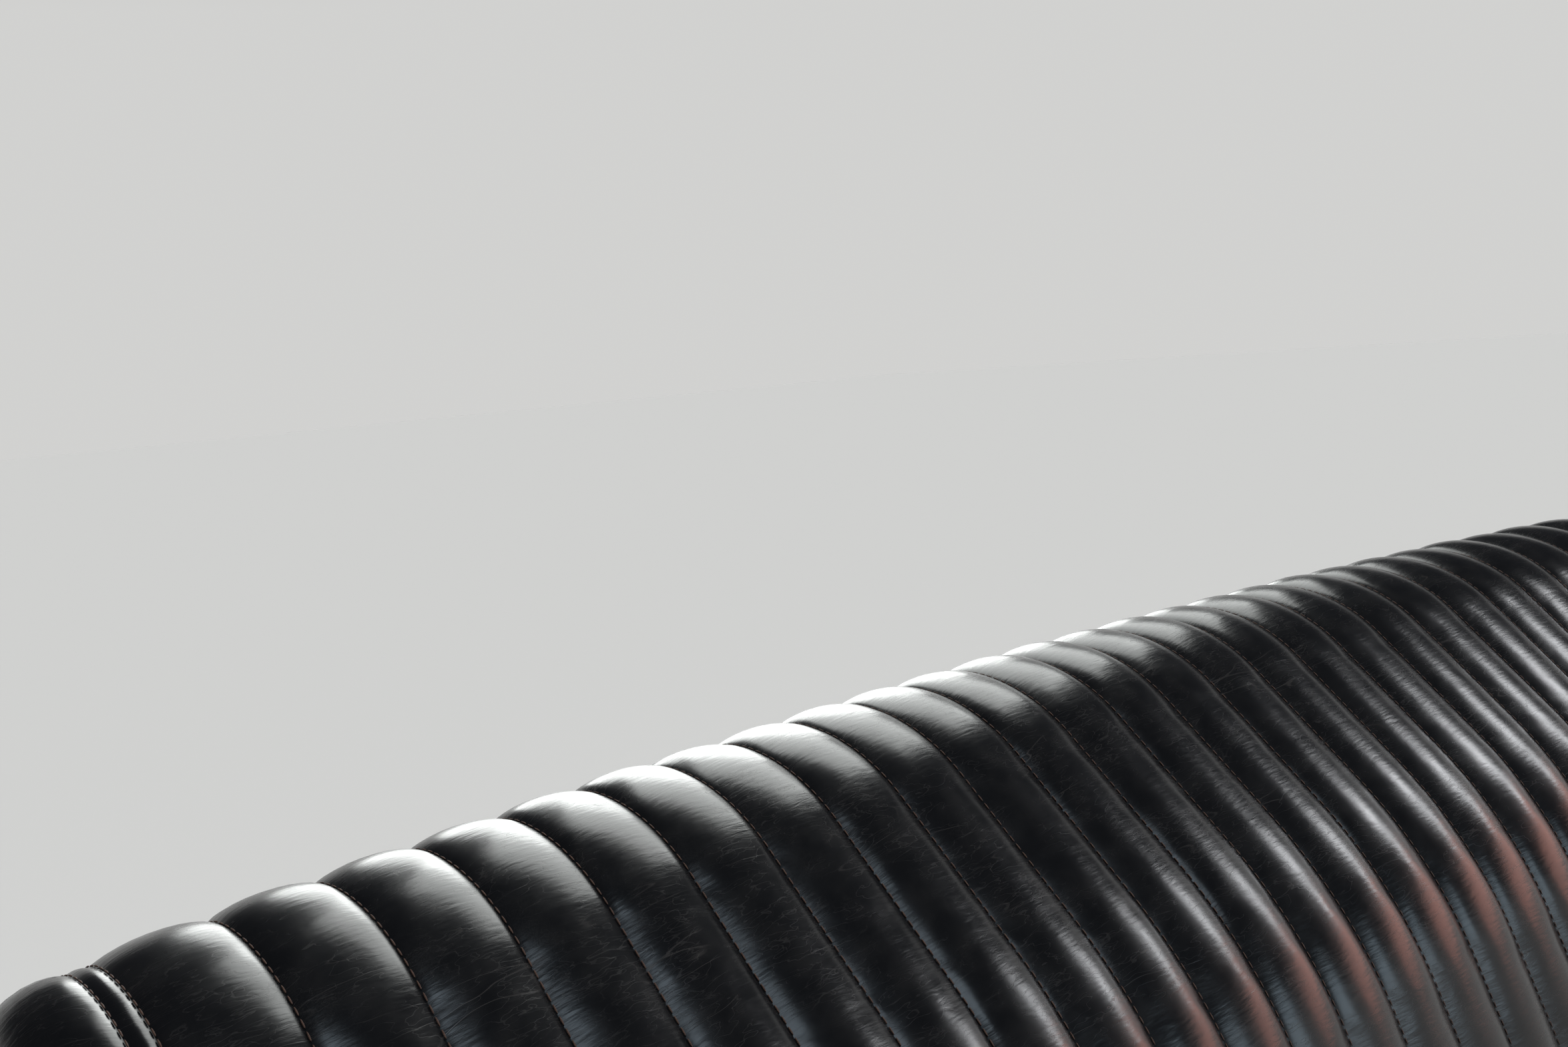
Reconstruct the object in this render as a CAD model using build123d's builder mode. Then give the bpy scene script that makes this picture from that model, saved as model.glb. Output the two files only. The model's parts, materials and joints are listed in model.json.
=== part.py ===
# Front bench seat with a pleated leather cushion and a one-piece folding backrest.
# Origin: centre of the four floor bolts, at floor level. +Z up, the sitter faces -Y,
# the sitter's left is +X. Units are millimetres.
import os
from math import atan2, cos, degrees, radians, sin, tan

from build123d import *

# Pleated leather
pleat_pitch = 50.0
pleat_count = 26
back_puff = 7.0
cushion_puff = 7.0
strip_width = 10.0
end_width = 38.0
end_round = 28.0

# A pleat's form: shares of its width from the seam and, beside them, of its puff
pleat_form = ((0.0, 0.0), (0.2, 0.8), (0.5, 1.0), (0.8, 0.8))

# Chords that each round stretch of leather is cut to
rear_chords = 5
roll_chords = 3
lumbar_chords = 2
tuck_chords = 2
nose_chords = 5

# Heights, from the floor up
foot_height = 38.0
rail_height = 24.0
slider_rise = 8.0
frame_size = 30.0
spring_wire = 4.0
cushion_rear_height = 181.0
hinge_rise = 15.0
bulge_below_hinge = 10.0
back_height = 530.0
back_skirt = 85.0

# Backrest, seen from the side
face_y = 130.0
roll_drop = 29.6
slope_drop = 65.6
lumbar_drop = 103.4
slope_angle = 45.5
face_angle = 73.8
tuck_angle = 110.0
tuck_radius = 60.0
rear_radius = 50.0
rear_rake = 23.0
lean_middle = 0.12
panel_thickness = 5.0
panel_margin = 18.0
seat_clearance = 0.3

# Cushion, seen from the side
cushion_depth = 485.0
cushion_tilt = 6.0
cushion_gap = 4.0
cushion_rear_bevel = 36.0
cushion_front_radius = 62.0
cushion_front_tuck = 4.0

# Steel base frame and springs
frame_side_inset = 23.0
frame_front_inset = 36.0
frame_rear_inset = 14.0
frame_wall = 2.5
spring_count = 8
spring_pitch = 150.0
spring_width = 46.0
spring_zigzag = 30.0

# Tracks
track_spacing = 900.0
track_length = 480.0
rail_width = 46.0
rail_wall = 3.0
rail_slot = 20.0
slider_clearance = 0.6
slider_web = 12.0
slider_head = 46.0
slider_head_thickness = 4.0
foot_reach = 40.0
foot_lap = 55.0
foot_thickness = 4.0
bolt_radius = 4.5

# Hinges
hinge_back = 35.0
arm_rake = 24.0
arm_standoff = 7.0
arm_thickness = 5.0
hinge_gap = 5.0
bracket_thickness = 5.0
pin_radius = 6.0
pin_clearance = 0.05
pin_collar_radius = 12.0
arm_eye_radius = 20.0
arm_tip_radius = 16.0
arm_reach = 150.0
bracket_eye_radius = 24.0
bracket_foot_length = 110.0
stop_radius = 8.0
stop_height = 62.0
stop_gap = 0.3
tube_radius = 11.0
tube_back = 25.0
boss_radius = 12.0
boss_heights = (70.0, 140.0)

# Track release
rod_radius = 4.0
rod_forward = 150.0
lever_offset = 70.0
lever_width = 18.0
lever_thickness = 4.0
lever_reach = 30.0
knob_radius = 12.0
knob_length = 34.0
latch_gap = 6.0
latch_thickness = 4.0
latch_height = 26.0

# Worked-out places
half_pleats = pleat_pitch * pleat_count / 2
half_insert = half_pleats + strip_width
seams = [i * pleat_pitch - half_pleats for i in range(pleat_count + 1)]
half_seat = half_insert + end_width
half_frame = half_seat - frame_side_inset
rail_bottom = foot_height
rail_top = rail_bottom + rail_height
frame_bottom = rail_top + slider_rise
frame_top = frame_bottom + frame_size
cushion_bottom = frame_top + spring_wire
cushion_rear_top = cushion_bottom + cushion_rear_height
hinge_z = cushion_rear_top + hinge_rise
hinge_y = face_y + hinge_back
face_z = hinge_z - bulge_below_hinge
crest_z = face_z + back_height
back_bottom = face_z - back_skirt
cushion_rear_y = face_y - back_puff - cushion_gap
cushion_front_y = cushion_rear_y - cushion_depth
arm_x = half_seat + arm_standoff
bracket_x = arm_x + arm_thickness + hinge_gap
track_x = track_spacing / 2
frame_front_y = cushion_front_y + frame_front_inset
frame_rear_y = cushion_rear_y - frame_rear_inset
rod_y = frame_rear_y - frame_size - rod_forward
rod_z = frame_bottom + frame_size / 2

os.makedirs("parts", exist_ok=True)


def save(piece, name):
    """Label a finished piece and write its STEP file."""
    piece.part.label = name
    export_step(piece.part, f"parts/{name}.step")


def save_pair(piece, name):
    """Write a piece of the sitter's left side, and its mirror image for the right."""
    save(piece, f"{name}_left")
    with BuildPart() as other:
        mirror(piece.part, about=Plane.YZ)
    save(other, f"{name}_right")


def lean(x):
    """How far the backrest leans back at x, beyond its ends, as a slope."""
    return lean_middle * (1 - (x / half_pleats) ** 2)


def leaned(angle, slope):
    """A downward heading in degrees, turned by the extra lean."""
    a = radians(angle)
    return degrees(atan2(sin(a), cos(a) + slope * sin(a)))


def back_rear_corners(x):
    """Top and bottom corners of the flat rear face, as (y, z)."""
    rake = atan2(tan(radians(rear_rake)) + lean(x), 1)
    top_y = back_crest_y(x) + rear_radius * cos(rake)
    top_z = crest_z - rear_radius * (1 + sin(rake))
    return (top_y, top_z), (top_y - (top_z - back_bottom) * tan(rake), back_bottom)


def back_face_size(x):
    """Angles, radii and lengths of the backrest's front face at x."""
    upper = leaned(slope_angle, lean(x))
    lower = leaned(face_angle, lean(x))
    u, v = radians(upper), radians(lower)
    roll_radius = roll_drop / (1 - cos(u))
    lumbar_radius = lumbar_drop / (cos(u) - cos(v))
    face_drop = back_height - roll_drop - slope_drop - lumbar_drop - tuck_radius * cos(v)
    return upper, lower, roll_radius, lumbar_radius, slope_drop / sin(u), face_drop / sin(v)


def back_crest_y(x):
    """Where the top line of the backrest lies at x."""
    upper, lower, roll_radius, lumbar_radius, slope_length, face_length = back_face_size(x)
    u, v = radians(upper), radians(lower)
    run = roll_radius * sin(u) + slope_length * cos(u)
    run += lumbar_radius * (sin(v) - sin(u)) + face_length * cos(v)
    return face_y + run + tuck_radius * (1 - sin(v))


def chords(arc, count):
    """Points along an arc, one at the start of each of its chords."""
    return [arc @ (i / count) for i in range(count)]


def back_section(x, out):
    """Closed side section of the backrest at x, its leather moved outwards by out."""
    upper, lower, roll_radius, lumbar_radius, slope_length, face_length = back_face_size(x)
    rear_top, rear_bottom = back_rear_corners(x)
    crest = (back_crest_y(x), crest_z + out)
    with BuildSketch(Plane.YZ.offset(x)) as section:
        with BuildLine(mode=Mode.PRIVATE):
            rear = TangentArc([crest, rear_top], tangent=(1, 0))
            roll = JernArc(crest, (-1, 0), roll_radius + out, upper)
            slope = PolarLine(roll @ 1, slope_length, direction=roll % 1)
            lumbar = JernArc(slope @ 1, slope % 1, lumbar_radius + out, lower - upper)
            face = PolarLine(lumbar @ 1, face_length, direction=lumbar % 1)
            tuck = JernArc(face @ 1, face % 1, tuck_radius + out, tuck_angle - lower)
        skirt = ((tuck @ 1).Y - back_bottom) / tan(radians(tuck_angle))
        skin = chords(roll, roll_chords) + [slope @ 0] + chords(lumbar, lumbar_chords)
        skin += [face @ 0] + chords(tuck, tuck_chords) + [tuck @ 1]
        rear_skin = [rear @ (1 - i / rear_chords) for i in range(rear_chords)]
        with BuildLine():
            front_bottom = ((tuck @ 1).X - skirt, back_bottom)
            Polyline(*skin, front_bottom, rear_bottom, *rear_skin, close=True)
        make_face()
    return section.sketch


def cushion_section(x, out):
    """Closed side section of the cushion at x, its leather moved outwards by out."""
    tilt = radians(cushion_tilt)
    top_start = (
        cushion_rear_y - cushion_rear_bevel + out * sin(tilt),
        cushion_rear_top + out * cos(tilt),
    )
    turn_y = cushion_front_y + cushion_front_radius * (1 + sin(tilt))
    top_length = (cushion_rear_y - cushion_rear_bevel - turn_y) / cos(tilt)
    turn = cushion_tilt + 90 + cushion_front_tuck
    rear_edge = (cushion_rear_y, cushion_rear_top - cushion_rear_bevel)
    rear_bottom = (cushion_rear_y, cushion_bottom)
    with BuildSketch(Plane.YZ.offset(x)) as section:
        with BuildLine(mode=Mode.PRIVATE):
            top = PolarLine(top_start, top_length, direction=(-cos(tilt), sin(tilt)))
            nose = JernArc(top @ 1, top % 1, cushion_front_radius + out, turn)
        drop = (nose @ 1).Y - cushion_bottom
        with BuildLine():
            front_bottom = ((nose @ 1).X + drop * tan(radians(cushion_front_tuck)), cushion_bottom)
            skin = [top_start] + chords(nose, nose_chords) + [nose @ 1]
            Polyline(*skin, front_bottom, rear_bottom, rear_edge, close=True)
        make_face()
    return section.sketch


def pleat_stations(puff):
    """Places along X of a pad's side sections, from seam to seam, and how far each puffs out."""
    stations = [(-half_insert, 0)]
    for seam in seams[:-1]:
        stations += [(seam + pleat_pitch * share, puff * height) for share, height in pleat_form]
    return stations + [(half_pleats, 0), (half_insert, 0)]


def pleated_pad(section, puff):
    """Pleats side by side, with a narrow sewn strip at each end, as one solid."""
    with BuildPart() as pad:
        loft([section(x, out) for x, out in pleat_stations(puff)], ruled=True)
    return pad


def rounded_end(section):
    """Plain end of a cushion: its outer edge is a quarter round."""
    turns = [radians(turn) for turn in (0, 30, 60, 90)]
    with BuildPart() as end:
        places = [(half_insert + end_width * sin(t), -end_round * (1 - cos(t))) for t in turns]
        loft([section(x, out) for x, out in places], ruled=True)
    return end


# Pleated cushion and backrest
save(pleated_pad(back_section, back_puff), "back_pad")
save(pleated_pad(cushion_section, cushion_puff), "cushion_pad")
save_pair(rounded_end(back_section), "back_end")
save_pair(rounded_end(cushion_section), "cushion_end")

# Rear panel of the backrest, bowed with it
with BuildPart() as back_panel:
    panels = []
    for x in [-half_insert, *seams, half_insert]:
        top, bottom = (Vector(*corner) for corner in back_rear_corners(x))
        down = (bottom - top).normalized()
        outwards = Vector(-down.Y, down.X)
        near, far = outwards * seat_clearance, outwards * (seat_clearance + panel_thickness)
        upper, lower = top + down * panel_margin, bottom - down * panel_margin
        with BuildSketch(Plane.YZ.offset(x)) as panel_section:
            with BuildLine():
                Polyline(upper + near, upper + far, lower + far, lower + near, close=True)
            make_face()
        panels.append(panel_section.sketch)
    loft(panels, ruled=True)
save(back_panel, "back_panel")

# Floor rails and sliders
with BuildPart() as rail:
    with BuildSketch(Plane.XZ.offset(-track_length / 2)):
        with Locations((track_x, rail_bottom)):
            Rectangle(rail_width, rail_height, align=(Align.CENTER, Align.MIN))
        with Locations((track_x, rail_bottom + rail_wall)):
            inner = (rail_width - 2 * rail_wall, rail_height - 2 * rail_wall)
            Rectangle(*inner, align=(Align.CENTER, Align.MIN), mode=Mode.SUBTRACT)
            Rectangle(rail_slot, rail_height, align=(Align.CENTER, Align.MIN), mode=Mode.SUBTRACT)
    extrude(amount=track_length)
save_pair(rail, "rail")

with BuildPart() as slider:
    shoe_width = rail_width - 2 * (rail_wall + slider_clearance)
    shoe_bottom = rail_bottom + rail_wall + slider_clearance
    shoe_top = rail_top - rail_wall - slider_clearance
    with BuildSketch(Plane.XZ.offset(-frame_front_y - track_length)):
        with Locations((track_x, shoe_bottom)):
            Rectangle(shoe_width, shoe_top - shoe_bottom, align=(Align.CENTER, Align.MIN))
            hollow = (shoe_width - 2 * rail_wall, shoe_top - shoe_bottom - rail_wall)
            Rectangle(*hollow, align=(Align.CENTER, Align.MIN), mode=Mode.SUBTRACT)
        with Locations((track_x, shoe_top - rail_wall)):
            web_height = frame_bottom - shoe_top + rail_wall
            Rectangle(slider_web, web_height, align=(Align.CENTER, Align.MIN))
        with Locations((track_x, frame_bottom)):
            Rectangle(slider_head, slider_head_thickness, align=(Align.CENTER, Align.MAX))
    extrude(amount=track_length)
save_pair(slider, "slider")

# Feet that bolt the rails to the floor
foot_end = track_length / 2 + foot_reach
bolt_y = track_length / 2 + foot_reach / 2
half_foot = foot_thickness / 2
for name, turn in (("foot_front", 1), ("foot_rear", -1)):
    with BuildPart() as foot:
        with BuildSketch(Plane.YZ.offset(track_x - rail_width / 2)):
            with BuildLine():
                Polyline(
                    (-turn * foot_end, half_foot),
                    (-turn * (track_length / 2 + foot_thickness), half_foot),
                    (-turn * (track_length / 2 - foot_thickness), rail_bottom - half_foot),
                    (-turn * (track_length / 2 - foot_lap), rail_bottom - half_foot),
                )
            trace(line_width=foot_thickness)
        extrude(amount=rail_width)
        with Locations((track_x, -turn * bolt_y, foot_thickness)):
            Hole(bolt_radius)
    save_pair(foot, name)


def channel(length):
    """Channel section of the base frame, along X, its open side facing +Y."""
    with BuildSketch(Plane.YZ.offset(-length / 2)) as section:
        Rectangle(frame_size, frame_size, align=(Align.MIN, Align.MIN))
        with Locations((frame_wall, frame_wall)):
            inner = (frame_size, frame_size - 2 * frame_wall)
            Rectangle(*inner, align=(Align.MIN, Align.MIN), mode=Mode.SUBTRACT)
    return extrude(section.sketch, amount=length, mode=Mode.PRIVATE)


# Base frame of channel section, open side inwards
side_length = frame_rear_y - frame_front_y - 2 * frame_size
side_y = (frame_front_y + frame_rear_y) / 2
with BuildPart() as frame_front:
    add(channel(2 * half_frame).moved(Location((0, frame_front_y, frame_bottom))))
save(frame_front, "frame_front")

with BuildPart() as frame_rear:
    add(channel(2 * half_frame).moved(Location((0, frame_rear_y, frame_bottom), (0, 0, 180))))
save(frame_rear, "frame_rear")

with BuildPart() as frame_side:
    add(channel(side_length).moved(Location((half_frame, side_y, frame_bottom), (0, 0, 90))))
save_pair(frame_side, "frame_side")

with BuildPart() as frame_middle:
    middle = Location((frame_size / 2, side_y, frame_bottom), (0, 0, 90))
    add(channel(side_length).moved(middle))
    with BuildSketch(Plane.YZ.offset(-frame_size)):
        with Locations((rod_y, rod_z)):
            Circle(rod_radius + seat_clearance)
    extrude(amount=2 * frame_size, mode=Mode.SUBTRACT)
save(frame_middle, "frame_middle")

# Zigzag springs, each from the front channel to the rear one
zigzag_count = round((frame_rear_y - frame_front_y - frame_size) / spring_zigzag)
zigzag_step = (frame_rear_y - frame_front_y - frame_size) / zigzag_count
with BuildSketch() as zigzag:
    with BuildLine():
        half_zigzag = (spring_width - spring_wire) / 2
        first_bend = frame_front_y + frame_size / 2
        bends = [((-1) ** i * half_zigzag, first_bend + i * zigzag_step) for i in range(zigzag_count + 1)]
        Polyline(*bends)
    trace(line_width=spring_wire)

with BuildPart() as springs:
    with BuildSketch(Plane.XY.offset(frame_top)):
        with GridLocations(spring_pitch, 1, spring_count, 1):
            add(zigzag.sketch)
    extrude(amount=spring_wire)
save(springs, "cushion_springs")

# Hinges: a bracket and a pin with a hexagon collar on the base, an arm on the backrest
arm_lean = radians(arm_rake)


def along_arm(distance, behind=0.0):
    """A point of the arm's side view, by its distance from the hinge pin."""
    y = hinge_y + distance * sin(arm_lean) + behind * cos(arm_lean)
    return y, hinge_z + distance * cos(arm_lean) - behind * sin(arm_lean)


stop_share = stop_height / arm_reach
arm_half_width = arm_eye_radius + (arm_tip_radius - arm_eye_radius) * stop_share
stop_place = along_arm(stop_height, arm_half_width + stop_radius + stop_gap)
tube_y, tube_z = hinge_y + tube_back, back_bottom - tube_radius

with BuildPart() as bracket:
    with BuildSketch(Plane.YZ.offset(bracket_x)):
        with BuildSketch() as outline:
            with Locations((hinge_y, hinge_z)):
                Circle(bracket_eye_radius)
            with Locations(stop_place):
                Circle(stop_radius)
            with Locations((frame_rear_y, frame_bottom - bracket_thickness)):
                foot_size = (bracket_foot_length, frame_size + bracket_thickness)
                Rectangle(*foot_size, align=(Align.MAX, Align.MIN))
            make_hull()
        with Locations((hinge_y, hinge_z)):
            Circle(pin_radius, mode=Mode.SUBTRACT)
    extrude(amount=bracket_thickness)
    flange_x = (half_frame - frame_size, bracket_x)
    with BuildSketch(Plane.XY.offset(frame_bottom - bracket_thickness)):
        with Locations((flange_x[0], frame_rear_y)):
            flange = (flange_x[1] - flange_x[0], bracket_foot_length)
            Rectangle(*flange, align=(Align.MIN, Align.MAX))
    extrude(amount=bracket_thickness)
save_pair(bracket, "hinge_bracket")

with BuildPart() as pin:
    pin_start = arm_x - 2 * pin_clearance
    with BuildSketch(Plane.YZ.offset(pin_start)):
        with Locations((hinge_y, hinge_z)):
            Circle(pin_radius)
    extrude(amount=bracket_x + bracket_thickness - pin_start)
    collar_start = arm_x + arm_thickness + 2 * pin_clearance
    with BuildSketch(Plane.YZ.offset(collar_start)):
        with Locations((hinge_y, hinge_z)):
            RegularPolygon(pin_collar_radius, 6)
    extrude(amount=bracket_x - collar_start)
save_pair(pin, "hinge_pin")

with BuildPart() as arm:
    with BuildSketch(Plane.YZ.offset(arm_x)):
        for end, radius in ((along_arm(arm_reach), arm_tip_radius), ((tube_y, tube_z), arm_tip_radius)):
            with BuildSketch(mode=Mode.PRIVATE) as blade:
                with Locations((hinge_y, hinge_z)):
                    Circle(arm_eye_radius)
                with Locations(end):
                    Circle(radius)
                make_hull()
            add(blade.sketch)
        with Locations((hinge_y, hinge_z)):
            Circle(pin_radius + pin_clearance, mode=Mode.SUBTRACT)
    extrude(amount=arm_thickness)
    with BuildSketch(Plane.YZ.offset(half_seat)):
        with Locations(*(along_arm(height) for height in boss_heights)):
            Circle(boss_radius)
    extrude(amount=arm_standoff)
save_pair(arm, "hinge_arm")

with BuildPart() as stop:
    with BuildSketch(Plane.YZ.offset(arm_x)):
        with Locations(stop_place):
            Circle(stop_radius)
    extrude(amount=bracket_x - arm_x)
save_pair(stop, "back_stop")

with BuildPart() as back_tube:
    with BuildSketch(Plane.YZ.offset(-arm_x)):
        with Locations((tube_y, tube_z)):
            Circle(tube_radius)
    extrude(amount=2 * arm_x)
save(back_tube, "back_tube")

# Track release: a cross rod with a catch beside each rail, and a hand lever
catch_x = track_x + rail_width / 2 + latch_gap
lever_x = track_x + lever_offset
with BuildPart() as catch:
    with BuildSketch(Plane.YZ.offset(catch_x)):
        with BuildSketch() as outline:
            with Locations((rod_y, rod_z)):
                Circle(2 * rod_radius)
            with Locations((rod_y, rail_top)):
                Rectangle(latch_height, latch_height, align=(Align.CENTER, Align.MAX))
            make_hull()
        with Locations((rod_y, rod_z)):
            Circle(rod_radius, mode=Mode.SUBTRACT)
    extrude(amount=latch_thickness)
save_pair(catch, "track_catch")

with BuildPart() as rod:
    with BuildSketch(Plane.YZ.offset(-catch_x - latch_thickness)):
        with Locations((rod_y, rod_z)):
            Circle(rod_radius)
    extrude(amount=catch_x + latch_thickness + lever_x + lever_thickness)
save(rod, "release_rod")

lever_z = frame_bottom - seat_clearance - lever_width / 2 - slider_head_thickness
knob_y = cushion_front_y - lever_reach
with BuildPart() as lever:
    with BuildSketch(Plane.YZ.offset(lever_x)):
        with BuildLine():
            FilletPolyline(
                (rod_y, rod_z),
                (rod_y - 2 * lever_width, lever_z),
                (knob_y, lever_z),
                radius=lever_width,
            )
        trace(line_width=lever_width)
        with Locations((rod_y, rod_z)):
            Circle(lever_width / 2)
            Circle(rod_radius, mode=Mode.SUBTRACT)
    extrude(amount=lever_thickness)
save(lever, "release_lever")

with BuildPart() as knob:
    knob_x = lever_x + lever_thickness / 2
    with BuildSketch(Plane((knob_x, knob_y, lever_z), x_dir=(0, -1, 0), z_dir=(1, 0, 0))):
        with BuildLine():
            Polyline((0, 0), (0, knob_radius), (knob_length, knob_radius), (knob_length, 0), close=True)
        make_face()
    revolve(axis=Axis((knob_x, knob_y, lever_z), (0, 1, 0)))
save(knob, "release_knob")
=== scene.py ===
import json
import math

import bmesh
import bpy
import numpy as np
from mathutils import Matrix, Vector, noise


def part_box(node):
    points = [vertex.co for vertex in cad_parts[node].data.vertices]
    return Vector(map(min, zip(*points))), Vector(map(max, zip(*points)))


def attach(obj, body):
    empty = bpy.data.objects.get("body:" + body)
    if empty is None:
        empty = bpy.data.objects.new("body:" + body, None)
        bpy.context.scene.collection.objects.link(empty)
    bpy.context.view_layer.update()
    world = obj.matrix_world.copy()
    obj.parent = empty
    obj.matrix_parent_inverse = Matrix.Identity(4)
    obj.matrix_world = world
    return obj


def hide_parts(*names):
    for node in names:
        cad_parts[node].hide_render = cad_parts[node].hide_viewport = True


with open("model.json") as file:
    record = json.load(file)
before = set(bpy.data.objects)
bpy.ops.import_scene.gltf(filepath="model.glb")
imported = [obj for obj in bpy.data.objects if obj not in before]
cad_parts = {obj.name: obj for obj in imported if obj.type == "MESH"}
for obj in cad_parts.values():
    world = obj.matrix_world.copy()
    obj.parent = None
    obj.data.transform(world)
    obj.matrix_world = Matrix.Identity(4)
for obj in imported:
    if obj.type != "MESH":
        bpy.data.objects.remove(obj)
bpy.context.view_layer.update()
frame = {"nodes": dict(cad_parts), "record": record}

nodes = frame["nodes"]

# Sizes of the seat, in metres
pleat_pitch = 0.050
pleat_count = 26
strip_width = 0.010
end_width = 0.038
end_round = 0.028
half_pleats = pleat_pitch * pleat_count / 2
half_insert = half_pleats + strip_width
pleat_puff = 0.0052
strip_puff = 0.0018
end_puff = 0.0045

# Side view of the backrest
back_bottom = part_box("back_end_left")[0].z
crest_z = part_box("back_end_left")[1].z
face_y = 0.130
face_z = 0.290
roll_drop = 0.0296
slope_drop = 0.0656
lumbar_drop = 0.1034
slope_angle = math.radians(45.5)
face_angle = math.radians(73.8)
tuck_angle = math.radians(110)
tuck_radius = 0.060
rear_radius = 0.050
rear_rake = math.radians(23)
lean_middle = 0.12

# Side view of the cushion
cushion_low, cushion_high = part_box("cushion_end_left")
cushion_rear_y = cushion_high.y
cushion_front_y = cushion_low.y
cushion_bottom = cushion_low.z
cushion_rear_top = 0.285
cushion_tilt = math.radians(6)
cushion_rear_bevel = 0.036
cushion_front_radius = 0.062
cushion_front_tuck = math.radians(4)

# Rows of the meshes along each stretch of the side views
back_rows = {"rear": 3, "rear_roll": 11, "roll": 15, "slope": 17, "lumbar": 23, "face": 40,
             "tuck": 7, "front": 7, "bottom": 2}
cushion_rows = {"rear": 4, "rear_roll": 6, "top": 60, "nose": 18, "front": 14, "bottom": 4}

# Mesh columns across a pleat, as shares of its width: close together at the seams
pleat_columns = (0.0, 0.045, 0.15, 0.36, 0.64, 0.85, 0.955)
pillow_squareness = 2.2
pillow_fullness = 0.75
fade_rows = 5

# Mesh columns of the strips: shares of their width, how far they stand out and which is a seam
strip_columns = ((0.35, strip_puff, False), (0.65, strip_puff, False), (1.0, 0.0, True))

# Plain rounded ends: places around their rounding, then widths and depths of the side's stuffing
end_turns = [math.radians(turn) for turn in (0, 3, 8, 15, 24, 34, 44, 54, 64, 74, 83, 90)]
side_insets = ((0.004, 0.0014), (0.006, 0.0010), (0.010, 0.0006))

# Rear panel
panel_margin = 0.018
panel_clearance = 0.0003
panel_thickness = 0.005
panel_edge_radius = 0.004
panel_edge_shares = (0, 0.06, 0.25, 0.6, 1)
panel_columns = 105
panel_rows = 40
panel_swell = 0.0004
panel_wave_counts = (9, 11)
panel_wave_layer = 7.7
panel_map_length = 0.55
panel_piping_points = 80
panel_piping_rises = 12

# Sewing
thread_radius = 0.00042
stitch_length = 0.0046
stitch_pitch = 0.0056
thread_rise = 0.0007
stitch_sides = 6
stitch_rings = 4
rows_without_thread = 2
piping_radius = 0.0026
tube_smoothness = 2

# Softness of the leather: the wadding's pressure and the furthest swell
wadding_pressure = 4
leather_shrink = -0.002
settling_steps = 20
swell_limit = 0.0015

# Heights of the leather's broad swings, its fine folds and the gathers at its seams
pad_unevenness = (0.0008, 0.00012, 0.0002)
end_unevenness = (0.0012, 0.0003, 0)

# Counts of them per metre across and along, and steps that make each pleat and seam differ
swing_counts = (16, 9)
swing_step = 0.9
patch_counts = (7, 6)
patch_layer = 3.3
patch_cover = 0.25
fold_counts = (34, 85)
fold_step = 5.1
gather_count = 105
gather_step = 9.7
gather_layer = 0.5
strip_seam_number = 40

# Distances from a seam over which it holds the leather flat and gathers it
seam_hold = 0.005
gather_reach = 0.007

# Hinges, their bolts and the springs
hinge_low, hinge_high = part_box("hinge_pin_left")
hinge_y = (hinge_low.y + hinge_high.y) / 2
hinge_z = (hinge_low.z + hinge_high.z) / 2
arm_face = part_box("hinge_arm_left")[1].x
arm_rake = math.radians(24)
bolt_heights = (0.070, 0.140)
spring_count = 8
spring_pitch = 0.150
spring_zigzag = 0.030
spring_reach = 0.021
points_per_bend = 10
bend_squareness = 0.7

# Turned fittings: distances along the axis and radii
round_segments = 32
knob_segments = 48
bolt_flats = 6
corner_angle = math.radians(35)
washer_profile = ((0, 0), (0, 0.0096), (0.0003, 0.0099), (0.0009, 0.0099), (0.0012, 0.0096),
                  (0.0012, 0))
bolt_profile = ((0.0012, 0), (0.0012, 0.0072), (0.0036, 0.0072), (0.0043, 0.0063), (0.0043, 0))
head_profile = ((-0.0005, 0), (-0.0005, 0.0084), (0.0004, 0.0090), (0.0014, 0.0086),
                (0.0026, 0.0068), (0.0034, 0.0038), (0.0036, 0))
knob_profile = ((0.0002, 0), (0.0002, 0.0066), (0.0012, 0.0074), (0.0042, 0.0074),
                (0.0050, 0.0082), (0.0075, 0.0104), (0.0105, 0.0114), (0.0110, 0.0108),
                (0.0118, 0.0108), (0.0123, 0.0117), (0.0150, 0.0119), (0.0155, 0.0112),
                (0.0163, 0.0112), (0.0168, 0.0119), (0.0240, 0.0118), (0.0290, 0.0108),
                (0.0322, 0.0084), (0.0335, 0.0050), (0.0339, 0))


def lean(x):
    """How far the backrest leans back at x, beyond its ends, as a slope."""
    return lean_middle * (1 - (x / half_pleats) ** 2)


def leaned(angle, slope):
    """A downward heading, turned by the extra lean."""
    return math.atan2(math.sin(angle), math.cos(angle) + slope * math.sin(angle))


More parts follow.
